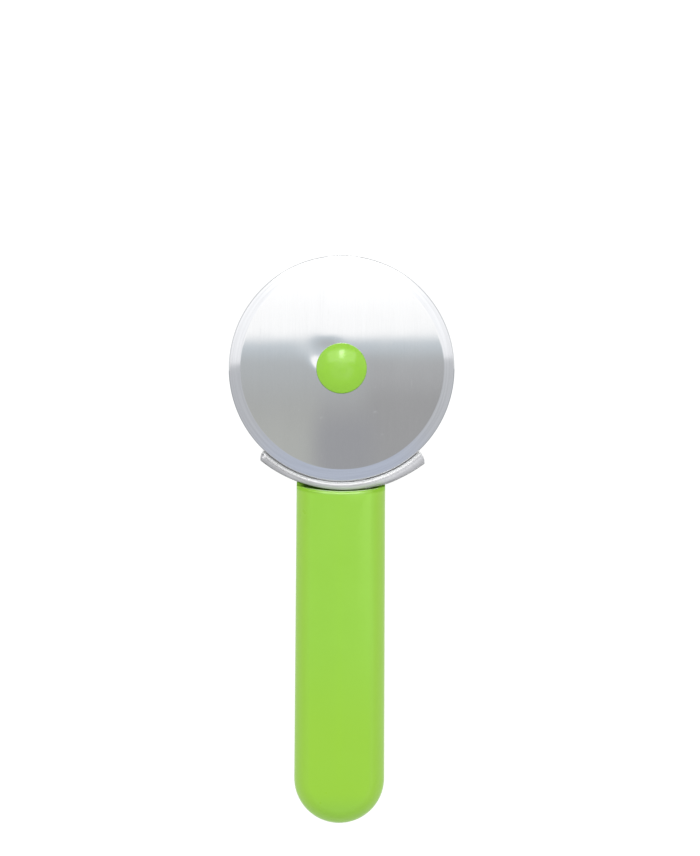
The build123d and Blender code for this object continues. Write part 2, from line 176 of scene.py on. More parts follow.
def link(g, socket, target):
    g.tree.links.new(socket, target)


# ------------------------------------------------------------------------ materials
def plastic(name, colour, deep, rough, grain, specular=0.5):
    """Moulded plastic: slow colour drift, fine mould grain and a little handling gloss."""
    m, g, b, co = material(name)
    drift = g.noise(co, 38.0, 3.0, 0.55)
    fine = g.noise(co, 900.0, 2.0, 0.5)
    mixed = g.mix(g.remap(g.plus(g.times(drift, 0.8), g.times(fine, 0.2)), 0.32, 0.68), deep, colour)
    link(g, mixed, b.inputs["Base Color"])
    patch = g.noise(co, 70.0, 3.0, 0.6)
    link(g, g.remap(patch, 0.25, 0.75, rough - 0.035, rough + 0.045, "LINEAR"), b.inputs["Roughness"])
    skin = g.noise(co, 2600.0, 3.0, 0.6)
    flow = g.noise(co, 55.0, 2.0, 0.5)
    n1 = g.bump(flow, 1.0, 0.00006)
    n2 = g.bump(skin, 1.0, grain, n1)
    link(g, n2, b.inputs["Normal"])
    b.inputs["Specular IOR Level"].default_value = specular
    b.inputs["IOR"].default_value = 1.5
    return m


def streaks(g, co, along, across, z_scale=1.0, detail=3.0):
    """Noise drawn out along +Y: rolling or brushing lines, across and along per metre."""
    x, y, z = g.xyz(co)
    v = g.vec(g.times(x, across), g.times(y, along), g.times(z, across * z_scale))
    return g.noise(v, 1.0, detail, 0.6)


def polar(g, co, cx, cy):
    """Radius and angle of a point about an axis parallel to Z, metres and radians."""
    x, y, z = g.xyz(co)
    dx, dy = g.minus(x, cx), g.minus(y, cy)
    r = g.math("SQRT", g.plus(g.times(dx, dx), g.times(dy, dy)))
    a = g.math("ARCTAN2", dy, dx)
    return r, a, dx, dy, z


def ring_lines(g, co, cx, cy, across, along, detail=3.0):
    """Noise drawn out round an axis: turned or ground rings. The angle enters through its sine and cosine, so it has no seam."""
    r, a, dx, dy, z = polar(g, co, cx, cy)
    sa, ca = g.math("SINE", a), g.math("COSINE", a)
    v = g.vec(g.plus(g.times(r, across), g.times(z, across)), g.times(sa, along), g.times(ca, along))
    return g.noise(v, 1.0, detail, 0.6), r


def blade_face_material():
    m, g, b, co = material("blade_polished")
    lines = streaks(g, co, 60.0, 5200.0)
    broad = streaks(g, co, 12.0, 260.0, detail=2.0)
    cloud = g.noise(co, 60.0, 4.0, 0.55)
    specks = g.remap(g.noise(co, 420.0, 2.0, 0.5), 0.70, 0.78)
    scratch = g.remap(streaks(g, co, 90.0, 2600.0, detail=1.0), 0.735, 0.78)
    colour = g.mix(g.remap(broad, 0.3, 0.7), (0.817, 0.819, 0.823), (0.826, 0.828, 0.832))
    link(g, colour, b.inputs["Base Color"])
    # fine handling scratches and a few specks scatter a little light into the mirror's dark part
    brush = streaks(g, co, 70.0, 2300.0, detail=2.0)
    haze = g.plus(g.remap(brush, 0.34, 0.74, 0.0, 0.030, "LINEAR"), g.times(specks, 0.045))
    link(g, g.minus(1.0, haze), b.inputs["Metallic"])
    rough = g.plus(g.remap(cloud, 0.35, 0.75, 0.026, 0.044, "LINEAR"), g.times(g.plus(specks, scratch), 0.05))
    link(g, rough, b.inputs["Roughness"])
    n1 = g.bump(lines, 1.0, 0.000000022)
    n2 = g.bump(scratch, 1.0, 0.0000002, n1)
    link(g, n2, b.inputs["Normal"])
    return m


def blade_bevel_material():
    m, g, b, co = material("blade_bevel")
    fine, r = ring_lines(g, co, 0.0, HUB_Y * MM, 9000.0, 1.6)
    wide, r2 = ring_lines(g, co, 0.0, HUB_Y * MM, 1800.0, 1.1, detail=2.0)
    chatter = g.noise(co, 500.0, 2.0, 0.5)
    colour = g.mix(g.remap(wide, 0.3, 0.7), (0.765, 0.775, 0.79), (0.83, 0.84, 0.855))
    link(g, colour, b.inputs["Base Color"])
    b.inputs["Metallic"].default_value = 1.0
    link(g, g.remap(g.plus(g.times(fine, 0.7), g.times(chatter, 0.3)), 0.3, 0.7, 0.045, 0.075, "LINEAR"), b.inputs["Roughness"])
    n1 = g.bump(fine, 1.0, 0.0000006)
    n2 = g.bump(wide, 1.0, 0.0000010, n1)
    link(g, n2, b.inputs["Normal"])
    return m


def guard_material():
    m, g, b, co = material("guard_brushed")
    fine, r = ring_lines(g, co, 0.0, HUB_Y * MM, 5200.0, 4.0)
    rr, ang, dx, dy, z = polar(g, co, 0.0, HUB_Y * MM)
    # strokes across the band: fast round the axle, slow along the radius
    sa, ca = g.math("SINE", ang), g.math("COSINE", ang)
    cross = g.noise(g.vec(g.plus(g.times(sa, 95.0), g.times(rr, 900.0)), g.times(ca, 95.0), g.times(z, 60.0)), 1.0, 3.0, 0.6)
    wide, r2 = ring_lines(g, co, 0.0, HUB_Y * MM, 1500.0, 6.0, detail=2.0)
    pits = g.remap(g.noise(co, 900.0, 2.0, 0.5), 0.66, 0.76)
    side = g.remap(dx, -0.004, 0.012)
    lines = g.plus(g.times(fine, g.minus(1.0, g.times(side, 0.6))), g.times(cross, g.times(side, 0.6)))
    east, west = g.remap(dx, 0.004, 0.016), g.remap(dx, 0.002, -0.020)

    def painted_light_tone(left, middle, right):
        """Steel colour for painted highlight and shade, which changes from one end of the guard to the other as each
        end lies in the light.
        """
        three = [(v, v, v * 1.02) for v in (left, middle, right)]
        return g.mix(west, g.mix(east, three[1], three[2]), three[0])

    rim, a2, dx2, dy2, z2 = polar(g, co, GUARD_C[0] * MM, (HUB_Y + GUARD_C[1]) * MM)
    # painted highlight and shade: the steel is coloured in brighter and darker bands by distance from the axle, to
    # place the band's highlight
    colour = g.mix(g.remap(rim, (GUARD_R + 2.60) * MM, (GUARD_R + 1.60) * MM), painted_light_tone(0.48, 0.67, 0.585), painted_light_tone(0.49, 0.66, 0.70))
    colour = g.mix(g.remap(rim, (GUARD_R + 1.62) * MM, (GUARD_R + 0.80) * MM), colour, painted_light_tone(0.305, 0.320, 0.400))
    colour = g.mix(g.remap(rim, (GUARD_R + 0.68) * MM, (GUARD_R + 0.46) * MM), colour, painted_light_tone(0.530, 0.515, 0.665))
    # painted shade: the trimmed border of the lips is coloured darker, more so towards the ends
    lip, a3, dx3, dy3, z3 = polar(g, co, LIP_C[0] * MM, (HUB_Y + LIP_C[1]) * MM)
    lip_edge_shade = g.times(g.remap(lip, (LIP_R - 0.60) * MM, (LIP_R - 0.25) * MM), g.plus(g.times(east, 0.38), g.times(west, 0.10)))
    body = g.plus(g.times(wide, 0.4), g.times(lines, 0.6))
    colour = g.shade(colour, g.times(g.remap(body, 0.3, 0.7, 0.92, 1.08, "LINEAR"), g.minus(1.0, lip_edge_shade)))
    # painted shade: the web that faces the wheel is coloured dark up to the start of the bend, for the shade in the
    # slit beside the wheel
    inner = g.plus(rim, g.times(east, 0.00003))
    slit_web_shade = g.remap(inner, (GUARD_R - 0.04) * MM, (GUARD_R + 0.20) * MM)
    colour = g.mix(slit_web_shade, (0.20, 0.20, 0.205), colour)
    link(g, colour, b.inputs["Base Color"])
    b.inputs["Metallic"].default_value = 1.0
    rough = g.plus(g.remap(lines, 0.3, 0.7, 0.38, 0.50, "LINEAR"), g.times(pits, 0.12))
    link(g, rough, b.inputs["Roughness"])
    n1 = g.bump(lines, 1.0, 0.000005)
    n2 = g.bump(wide, 1.0, 0.000006, n1)
    link(g, n2, b.inputs["Normal"])
    return m


def brushed_y_material(name, lo, hi, r0, r1):
    m, g, b, co = material(name)
    lines = streaks(g, co, 90.0, 5200.0)
    broad = streaks(g, co, 30.0, 600.0, detail=2.0)
    link(g, g.mix(g.remap(broad, 0.3, 0.7), lo, hi), b.inputs["Base Color"])
    b.inputs["Metallic"].default_value = 1.0
    link(g, g.remap(lines, 0.3, 0.7, r0, r1, "LINEAR"), b.inputs["Roughness"])
    link(g, g.bump(lines, 1.0, 0.0000025), b.inputs["Normal"])
    return m


def turned_material(name, lo, hi, r0, r1, cy):
    m, g, b, co = material(name)
    fine, r = ring_lines(g, co, 0.0, cy, 7000.0, 1.2)
    cloud = g.noise(co, 700.0, 3.0, 0.55)
    link(g, g.mix(g.remap(cloud, 0.3, 0.7), lo, hi), b.inputs["Base Color"])
    b.inputs["Metallic"].default_value = 1.0
    link(g, g.remap(fine, 0.3, 0.7, r0, r1, "LINEAR"), b.inputs["Roughness"])
    link(g, g.bump(fine, 1.0, 0.000003), b.inputs["Normal"])
    return m


HANDLE = plastic("handle_green", (0.304, 0.632, 0.0425), (0.292, 0.614, 0.0385), 0.30, 0.0000030, 0.38)


def parts_of(m):
    """Graph, object coordinates and surface shader of a finished plastic."""
    find = {n.bl_idname: n for n in m.node_tree.nodes}
    return Graph(m.node_tree), find["ShaderNodeTexCoord"].outputs["Object"], find["ShaderNodeBsdfPrincipled"]


def paint_handle_shade(m):
    """Painted shade on the handle: darker towards the lower part and the rounded end, duller and paler long edges as
    painted shade and sheen, shade painted into the recess between shoulder and guard, and a shoulder round darker away
    from its middle.
    """
    g, co, b = parts_of(m)
    x, y, z = g.xyz(co)
    past = g.math("MINIMUM", g.minus(y, (HUB_Y + HANDLE_END_Y) * MM), 0.0)
    d = g.math("SQRT", g.plus(g.times(x, x), g.times(past, past)))
    # painted shade: coloured slightly darker and yellower towards the lower part, and darker still on the rounded end,
    # which turns away from the light
    low = g.remap(g.minus(y, HUB_Y * MM), -0.078, -0.116)
    colour = g.mix(low, b.inputs["Base Color"].links[0].from_socket, (0.306, 0.612, 0.028))
    end = g.remap(past, -0.0030, -0.0125)
    colour = g.mix(end, colour, (0.262, 0.545, 0.046))
    # painted shade and sheen: the rounded long edges are coloured duller, darker and paler, as they turn away from the
    # light
    colour = g.mix(g.remap(d, 0.0085, 0.0122), colour, g.mix(end, (0.315, 0.574, 0.063), (0.274, 0.528, 0.060)))
    # painted shade in the recess between the shoulder and the guard, darker on the left; specular is lowered there too
    r, a, dx, dy, z2 = polar(g, co, TOP_C[0] * MM, (HUB_Y + TOP_C[1]) * MM)
    recess_shade_mask = g.remap(r, (TOP_R + 0.12) * MM, (TOP_R - 0.12) * MM)
    recess_shade_mask = g.times(recess_shade_mask, g.remap(g.math("ABSOLUTE", g.plus(x, 0.0004)), 0.0126, 0.0106))
    recess_shade_mask = g.times(recess_shade_mask, g.remap(z, 0.0122, 0.0102))
    # painted shade: the shoulder's round is coloured darker away from its middle; its specular is raised in the
    # middle, so the highlight stays there
    bend = g.remap(r, (TOP_R + 1.5) * MM, (TOP_R + 0.8) * MM)
    middle = g.remap(g.math("ABSOLUTE", g.minus(x, 0.0004)), 0.0095, 0.0045)
    colour = g.mix(bend, colour, g.mix(middle, (0.256, 0.524, 0.037), (0.282, 0.580, 0.041)))
    recess = g.mix(g.remap(x, 0.002, 0.007), (0.045, 0.110, 0.009), (0.085, 0.185, 0.016))
    link(g, g.mix(recess_shade_mask, colour, recess), b.inputs["Base Color"])
    link(g, g.mix(recess_shade_mask, g.mix(bend, (0.38, 0.38, 0.38), g.mix(middle, (0.12, 0.12, 0.12), (0.70, 0.70, 0.70))), (0.05, 0.05, 0.05)), b.inputs["Specular IOR Level"])


paint_handle_shade(HANDLE)
CAP = plastic("cap_green", (0.313, 0.640, 0.049), (0.302, 0.625, 0.045), 0.20, 0.0000012)
BUSH = plastic("bush_acetal", (0.83, 0.83, 0.79), (0.79, 0.79, 0.75), 0.42, 0.000003)
BLADE_FACE = blade_face_material()
BLADE_BEVEL = blade_bevel_material()
GUARD = guard_material()
ARM = brushed_y_material("arm_brushed", (0.60, 0.60, 0.61), (0.70, 0.70, 0.71), 0.22, 0.36)
RIVET = turned_material("rivet_turned", (0.52, 0.52, 0.53), (0.64, 0.64, 0.65), 0.22, 0.38, HUB_Y * MM)
SCREW = turned_material("screw_zinc", (0.46, 0.47, 0.49), (0.60, 0.61, 0.62), 0.28, 0.45, 0.0)



def paint_cap_rim_shade(m):
    """Painted shade on the caps' rims: the side wall is coloured dark, in a band that is wider on the lower side."""
    g, co, b = parts_of(m)
    x, y, z = g.xyz(co)
    low = g.remap(g.minus(y, HUB_Y * MM), 0.004, -0.006)
    top = g.plus(g.times(low, 0.00026), 0.00232)
    wall = g.remap(g.math("ABSOLUTE", g.minus(z, 0.005425)), g.plus(top, 0.0002), g.minus(top, 0.0001))
    link(g, g.mix(wall, b.inputs["Base Color"].links[0].from_socket, (0.150, 0.330, 0.022)), b.inputs["Base Color"])


paint_cap_rim_shade(CAP)

for node, mat in {
    "rear_bush": BUSH, "front_bush": BUSH, "axle_rivet": RIVET, "rivet_collar": RIVET,
    "front_cap": CAP, "rear_cap": CAP, "support_arm": ARM, "finger_guard": GUARD,
    "handle_front_shell": HANDLE, "handle_back_shell": HANDLE, "handle_screws": SCREW,
}.items():
    o = NODES[node]
    for s in o.material_slots:
        s.material = mat


# ------------------------------------------------------------------------ the wheel
def bevel_inner(a):
    """Radius of the bevel's inner edge at angle a: a slightly eccentric, slightly uneven grind."""
    c = BEVEL_R + BEVEL_CX * np.cos(a) + BEVEL_CY * np.sin(a)
    return c + 0.035 * np.sin(3 * a + 0.8) + 0.022 * np.sin(7 * a + 2.1) + 0.012 * np.sin(17 * a)


def form(x, y):
    """How far the sheet stands off flat, in mm: one dent beside the hub and a slow warp."""
    fade = np.exp(-(np.clip(y - 8.0, 0, None) / 28.0) ** 2)
    top = 1.3 + 0.45 * np.clip(-7.3 - x, 0, 4)
    steep = -0.0284 * (1 + np.tanh((y - top) / 2.1)) * np.exp(-((x + 6.8) / 2.7) ** 2)
    broad = -0.0030 * (1 + np.tanh((y - 5.2) / 2.5)) * np.exp(-((x + 11.0) / 3.5) ** 2)
    gentle = 0.0083 * (1 + np.tanh((y - 8.0) / 1.8)) * np.exp(-((x + 4.6) / 3.8) ** 2)
    warp = 0.008 * np.sin(x / 17.0 + 0.6) * np.cos(y / 21.0 - 0.3) + 0.0022 * np.sin(x / 6.5 + 1.0) * np.sin(y / 8.0 + 0.4)
    return (steep + broad + gentle) * fade + warp


def make_blade():
    seg = 480
    ang = np.linspace(0, 2 * math.pi, seg, endpoint=False)
    cosa, sina = np.cos(ang), np.sin(ang)
    inner = bevel_inner(ang)
    zm = (BLADE_Z0 + BLADE_Z1) / 2
    soft = 0.05                     # width of the soft line between face and bevel

    def side(z_face, sign, face_steps):
        """Rings of one side from the bore to the cutting edge; sign is +1 for the front."""
        out = []
        ix, iy = inner * cosa, inner * sina
        z_in = z_face + form(ix, iy)
        z_hone = np.full(seg, zm + sign * (EDGE_LAND / 2 + HONE_DROP))
        slope = (z_hone - z_in) / (BLADE_R - HONE_W - inner)
        for i in range(face_steps + 1):
            f = i / face_steps
            r = BORE_R + 0.12 + (inner - soft - BORE_R - 0.12) * f
            out.append((r, z_face + form(r * cosa, r * sina)))
        for f in (0.35, 0.65, 1.0):
            r = inner - soft + 2 * soft * f
            out.append((r, z_in + slope * soft * f * f))
        z_start = out[-1][1]
        r_start = out[-1][0]
        r_end = BLADE_R - HONE_W - 0.03
        for i in range(1, 11):
            f = i / 10
            out.append((r_start + (r_end - r_start) * f, z_start + (z_hone - slope * 0.03 - z_start) * f))
        hone = -sign * HONE_DROP / HONE_W
        for d, dz in ((-0.03, hone * 0.03), (-HONE_W * 0.55, hone * HONE_W * 0.45), (-HONE_W, 0)):
            r = np.full(seg, BLADE_R + d) if d != -HONE_W else np.full(seg, BLADE_R - 0.01)
            if d == -0.03:
                r, z = np.full(seg, BLADE_R - HONE_W + 0.03), z_hone + dz
            elif d == -HONE_W:
                z = z_hone + hone * (HONE_W - 0.01)
            else:
                r, z = np.full(seg, BLADE_R - HONE_W * 0.5), z_hone + hone * HONE_W * 0.5
            out.append((r, z))
        return out

    front, rear = side(BLADE_Z1, 1, 90), side(BLADE_Z0, -1, 45)
    # bore: small rounds on both rims, then the land at the cutting edge closes the section
    bore_front = [(np.full(seg, BORE_R), np.full(seg, BLADE_Z1 - 0.12)), (np.full(seg, BORE_R + 0.035), np.full(seg, BLADE_Z1 - 0.035))]
    bore_rear = [(np.full(seg, BORE_R + 0.035), np.full(seg, BLADE_Z0 + 0.035)), (np.full(seg, BORE_R), np.full(seg, BLADE_Z0 + 0.12))]
    land = [(np.full(seg, BLADE_R), np.full(seg, zm + EDGE_LAND / 2 - 0.01)), (np.full(seg, BLADE_R), np.full(seg, zm - EDGE_LAND / 2 + 0.01))]
    rings = bore_front + front + land + rear[::-1] + bore_rear
    n = len(rings)
    verts = np.zeros((n * seg, 3))
    for i, (r, z) in enumerate(rings):
        verts[i * seg:(i + 1) * seg, 0] = r * cosa
        verts[i * seg:(i + 1) * seg, 1] = r * sina + HUB_Y
        verts[i * seg:(i + 1) * seg, 2] = z
    first_bevel = len(bore_front) + 90 + 1
    last_bevel = n - len(bore_rear) - 45 - 2
    faces, mats = [], []
    for i in range(n):
        j = (i + 1) % n
        mat = 1 if first_bevel <= i < last_bevel else 0
        for k in range(seg):
            k2 = (k + 1) % seg
            faces.append((i * seg + k, j * seg + k, j * seg + k2, i * seg + k2))
            mats.append(mat)
    me = bpy.data.meshes.new("blade_polished_disc")
    me.from_pydata((verts * MM).tolist(), [], faces)
    me.polygons.foreach_set("material_index", mats)
    me.polygons.foreach_set("use_smooth", [True] * len(faces))
    me.update()
    rim = len(bore_front) + len(front) - 1
    sharp_rings = {rim, rim + 1, rim + 2, rim + 3, rim - 3, rim + 6}
    for e in me.edges:
        a, b = e.vertices
        if a // seg == b // seg and a // seg in sharp_rings:
            e.use_edge_sharp = True
    me.materials.append(BLADE_FACE)
    me.materials.append(BLADE_BEVEL)
    o = bpy.data.objects.new("wheel_blade", me)
    bpy.context.scene.collection.objects.link(o)
    return o


blade = make_blade()
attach(blade, "blade_wheel")
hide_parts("blade")


# --------------------------------------------------------------------- the finger guard
def cubic_end(points):
    """Polar angle of a trimmed end as a cubic of the radius, through four outline points."""
    r = np.array([math.hypot(x - GUARD_C[0], y - GUARD_C[1]) for x, y in points])
    a = np.array([math.atan2(y - GUARD_C[1], x - GUARD_C[0]) for x, y in points])
    k = np.polyfit(r, a, 3)
    return lambda v: np.polyval(k, np.clip(v, r[0], r[-1]))


def lip_radius(a):
    """Radius at which the lip's trimming arc is met at angle a."""
    cx, cy = LIP_C[0] - GUARD_C[0], LIP_C[1] - GUARD_C[1]
    dot = cx * np.cos(a) + cy * np.sin(a)
    full = 0.19 * np.exp(-((a + 1.20) / 0.11) ** 2)         # a slightly fuller place right of the handle
    return dot + np.sqrt(LIP_R**2 - cx * cx - cy * cy + dot * dot) + full


def make_guard():
    """Channel rolled round the wheel: outer and inner skin as two grids, joined by rounded borders."""
    g0, g1, gb, t, fall = GUARD_Z0, GUARD_Z1, GUARD_BEND_R, GUARD_T, GUARD_FALL_R
    crest = GUARD_R + gb
    end_right, end_left = cubic_end(RIGHT_END), cubic_end(LEFT_END)
    round_r = 0.24

    # rows of the section, as (kind, value); the lips are a fraction of their local width
    quarter = [math.radians(a) for a in (0, 22.5, 45, 67.5, 90)]
    lip_rows = [("lip", 1.0, round_r * (1 - math.cos(q)), round_r * (1 - math.sin(q))) for q in quarter[::-1]]
    lip_rows += [("lip", f, 0.0, 0.0) for f in (0.92, 0.84, 0.75, 0.66, 0.57, 0.48, 0.40, 0.32, 0.24, 0.16, 0.08, 0.0)]
    bend_rows = [("bend", math.radians(a), 0.0, 0.0) for a in (8, 16, 24, 32, 40, 48, 56, 64, 72, 81)]
    slot_z = (3.45, 5.25)
    web_z = [g1 - gb, 6.4, 6.1, 5.7, slot_z[1], 4.35, slot_z[0], 3.0, 2.6, 2.3, g0 + gb]
    rows = [(1,) + r for r in lip_rows] + [(1,) + r for r in bend_rows]
    rows += [(0, "web", z, 0.0, 0.0) for z in web_z]
    rows += [(-1,) + r for r in bend_rows[::-1]] + [(-1,) + r for r in lip_rows[::-1]]

    # columns along the arc, from left to right, broken at the arm's slot
    def column_set(count, total):
        return [i / count for i in range(count)]

    cols = []                           # (segment, fraction, round along, round inwards)
    cols += [(0, 0.0, round_r * (1 - math.sin(q)), round_r * (1 - math.cos(q))) for q in quarter]
    cols = [(0, 0.0, a, b) for (_, _, a, b) in cols]
    cols += [(0, (i + 1) / 150, 0.0, 0.0) for i in range(149)]
    cols += [(1, i / 60, 0.0, 0.0) for i in range(60)]
    cols += [(2, i / 150, 0.0, 0.0) for i in range(150)]
    cols += [(2, 1.0, round_r * (1 - math.sin(q)), round_r * (1 - math.cos(q))) for q in quarter[::-1]]
    seg_id = np.array([c[0] for c in cols])
    frac = np.array([c[1] for c in cols])
    along = np.array([c[2] for c in cols])
    inward = np.array([c[3] for c in cols])

    def angles(r):
        left, right = end_left(r), end_right(r)
        a, b = -math.pi / 2 - np.arcsin((SLOT_HALF + GUARD_C[0]) / r), -math.pi / 2 + np.arcsin((SLOT_HALF - GUARD_C[0]) / r)
        lo = np.select([seg_id == 0, seg_id == 1], [left, a], b)
        hi = np.select([seg_id == 0, seg_id == 1], [a, b], right)
        th = lo + (hi - lo) * frac
        step = along / r
        return th + np.where(seg_id == 0, step, -step)

    def skin(row, inner):
        """Radius, angle and height of one row of one skin, over all columns."""
        side, kind, v, _, back = row
        depth = t if inner else 0.0
        r = np.full(len(cols), crest)
        for _ in range(3):
            th = angles(r)
            if kind == "web":
                r = np.full(len(cols), GUARD_R + depth)
            elif kind == "bend":
                r = np.full(len(cols), crest - (gb - depth) * math.sin(v))
            else:
                r = crest + (lip_radius(th) - crest) * v - (back if v == 1.0 else 0.0)
        if kind == "web":
            z = np.full(len(cols), v)
        elif kind == "bend":
            h = gb - (gb - depth) * math.cos(v)
            z = np.full(len(cols), g1 - h if side > 0 else g0 + h)
        else:
            h = fall - np.sqrt((fall - depth) ** 2 - (r - crest) ** 2)
            z = g1 - h if side > 0 else g0 + h
        if side > 0:
            # a nick near the left end and the faint unevenness of hand forming
            x, y = r * np.cos(th) + GUARD_C[0], r * np.sin(th) + GUARD_C[1]
            d2 = ((x + 23.95) / 0.42) ** 2 + ((y + 27.12) / 0.62) ** 2
            z = z - 0.17 * np.exp(-d2) - 0.018 * (1 + np.sin(th * 23.0 + 0.7) * np.sin(th * 9.0)) * np.clip((z - 6.2) / 1.5, 0, 1)
        return r, th, z

    nr, nc = len(rows), len(cols)
    grids = []
    for inner in (False, True):
        pts = np.zeros((nr, nc, 3))
        for i, row in enumerate(rows):
            r, th, z = skin(row, inner)
            pts[i, :, 0] = r * np.cos(th) + GUARD_C[0]
            pts[i, :, 1] = r * np.sin(th) + GUARD_C[1] + HUB_Y
            pts[i, :, 2] = z
        grids.append(pts)
    pinch = np.zeros((nr, nc))
    for i, row in enumerate(rows):
        pinch[i, :] = 1 - (1 - row[3] / t) * (1 - inward / t)
    outer = grids[0] + (grids[1] - grids[0]) * pinch[..., None]
    inner = grids[1] + (grids[0] - grids[1]) * pinch[..., None]
    verts = np.concatenate([outer.reshape(-1, 3), inner.reshape(-1, 3)])
    off = nr * nc
    hole_rows = [i for i, row in enumerate(rows[:-1]) if row[1] == "web" and rows[i + 1][1] == "web" and slot_z[0] <= rows[i + 1][2] and row[2] <= slot_z[1]]
    hole_cols = [j for j in range(nc - 1) if seg_id[j] == 1]
    hole = {(i, j) for i in hole_rows for j in hole_cols}
    faces = []
    for i in range(nr - 1):
        for j in range(nc - 1):
            if (i, j) in hole:
                continue
            a, b, c, d = i * nc + j, i * nc + j + 1, (i + 1) * nc + j + 1, (i + 1) * nc + j
            faces.append((a, d, c, b))
            faces.append((off + a, off + b, off + c, off + d))
    for j in range(nc - 1):
        a, b = j, j + 1
        faces.append((a, b, off + b, off + a))
        a, b = (nr - 1) * nc + j, (nr - 1) * nc + j + 1
        faces.append((b, a, off + a, off + b))
    for i in range(nr - 1):
        a, b = i * nc, (i + 1) * nc
        faces.append((b, a, off + a, off + b))
        a, b = i * nc + nc - 1, (i + 1) * nc + nc - 1
        faces.append((a, b, off + b, off + a))
    i0, i1, j0, j1 = min(hole_rows), max(hole_rows) + 1, min(hole_cols), max(hole_cols) + 1
    slot_edges = set()
    for j in range(j0, j1):
        a, b = i0 * nc + j, i0 * nc + j + 1
        faces.append((b, a, off + a, off + b))
        slot_edges |= {frozenset((a, b)), frozenset((off + a, off + b))}
        a, b = i1 * nc + j, i1 * nc + j + 1
        faces.append((a, b, off + b, off + a))
        slot_edges |= {frozenset((a, b)), frozenset((off + a, off + b))}
    for i in range(i0, i1):
        a, b = i * nc + j0, (i + 1) * nc + j0
        faces.append((a, b, off + b, off + a))
        slot_edges |= {frozenset((a, b)), frozenset((off + a, off + b))}
        a, b = i * nc + j1, (i + 1) * nc + j1
        faces.append((b, a, off + a, off + b))
        slot_edges |= {frozenset((a, b)), frozenset((off + a, off + b))}
    me = bpy.data.meshes.new("guard_channel")
    me.from_pydata((verts * MM).tolist(), [], faces)
    bm = bmesh.new()
    bm.from_mesh(me)
    bmesh.ops.recalc_face_normals(bm, faces=bm.faces)
    bm.to_mesh(me)
    bm.free()
    me.polygons.foreach_set("use_smooth", [True] * len(me.polygons))
    for e in me.edges:
        if frozenset(e.vertices) in slot_edges:
            e.use_edge_sharp = True
    me.materials.append(GUARD)
    me.update()
    o = bpy.data.objects.new("guard_band", me)
    bpy.context.scene.collection.objects.link(o)
    return o


guard = make_guard()
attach(guard, "handle")
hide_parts("finger_guard")


# ---------------------------------------------------------------------- the handle
def unit(v):
    return v / np.maximum(np.linalg.norm(v, axis=1), 1e-9)[:, None]


def handle_surfaces(P):
    """For points on the handle, the exact normal and the distance error of each outer surface."""
    x, y, z = P.T
    er, cz = HANDLE_EDGE_R, HANDLE_T - CROWN_R
    slope = (HANDLE_HW_END - HANDLE_HW_TOP) / (-37.5 - HANDLE_END_Y)
    straight = y > HANDLE_END_Y
    past = np.where(straight, 0.0, y - HANDLE_END_Y)
    s = np.hypot(x, past)
    hw = HANDLE_HW_END - np.where(straight, slope * (y - HANDLE_END_Y), 0.0)
    lateral = unit(np.stack([x, np.where(straight, slope * s, past), 0 * x], 1))
    up = np.array([0.0, 0.0, 1.0])
    cx = hw - er
    zc = cz + np.sqrt((CROWN_R - er) ** 2 - cx**2)

    def section(a, b):
        return unit(lateral * a[:, None] + up * b[:, None])

    far = 1e3
    out = [
        (section(s, z - cz), np.abs(np.hypot(s, z - cz) - CROWN_R) + np.where(s > cx * CROWN_R / (CROWN_R - er) + 1e-3, far, 0)),
        (section(s - cx, z - zc), np.abs(np.hypot(s - cx, z - zc) - er) + np.where((z < zc) | (s < cx), far, 0)),
        (section(0 * s + 1, 0 * s), np.abs(s - hw) + np.where((z > zc) | (z < er), far, 0)),
        (section(s - cx, z - er), np.abs(np.hypot(s - cx, z - er) - er) + np.where((z > er) | (s < cx), far, 0)),
        (np.tile(-up, (len(x), 1)), np.abs(z) + np.where(s > cx, far, 0)),
        (unit(np.stack([TOP_C[0] - x, TOP_C[1] - y, 0 * x], 1)), np.abs(np.hypot(x - TOP_C[0], y - TOP_C[1]) - TOP_R)),
    ]
    # the shoulder's rounds, parts of two rings
    r, sy = SHOULDER_R, TOP_C[1] - TOP_R
    ky, kz = 1 / (TOP_R + r), 1 / (CROWN_R - r)
    lean, ring = math.atan2(kz, ky), 1 / math.hypot(ky, kz)
    front = (TOP_C[0], sy - r + ring * math.cos(lean), HANDLE_T - r - ring * math.sin(lean))
    for centre, axis, tube in (
        (front, (0, math.sin(lean), math.cos(lean)), (TOP_C[0], sy - r, HANDLE_T - r)),
        ((TOP_C[0], TOP_C[1], 0.0), (0, 0, 1), (TOP_C[0], sy - r, r)),
    ):
        c, a, t = np.array(centre), np.array(axis), np.array(tube)
        h0 = (t - c) @ a
        r0 = np.linalg.norm(t - c - h0 * a)
        q = P - c
        radial = unit(q - (q @ a)[:, None] * a)
        core = c + h0 * a + r0 * radial
        out.append((unit(P - core), np.abs(np.linalg.norm(P - core, axis=1) - r)))
    return out


def smooth_shell(node, name):
    """Copy of a handle shell whose outer surfaces carry their exact normals, without facet marks."""
    me = NODES[node].data.copy()
    me.name = name
    n = len(me.loops)
    vert = np.zeros(n, dtype=np.int64)
    me.loops.foreach_get("vertex_index", vert)
    co = np.zeros(len(me.vertices) * 3)
    me.vertices.foreach_get("co", co)
    P = co.reshape(-1, 3)[vert] / MM - np.array([0.0, HUB_Y, 0.0])
    normal = np.array([c.vector[:] for c in me.corner_normals])
    face = np.zeros((n, 3))
    for q in me.polygons:
        face[q.loop_start:q.loop_start + q.loop_total] = q.normal[:]
    best = np.full(n, 0.012)
    for exact, error in handle_surfaces(P):
        use = (error < best) & ((exact * face).sum(1) > 0.88)
        normal[use] = exact[use]
        best[use] = error[use]
    me.normals_split_custom_set(normal.tolist())
    for i in range(len(me.materials)):
        me.materials[i] = HANDLE
    o = bpy.data.objects.new(name, me)
    bpy.context.scene.collection.objects.link(o)
    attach(o, "handle")
    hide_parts(node)
    return o


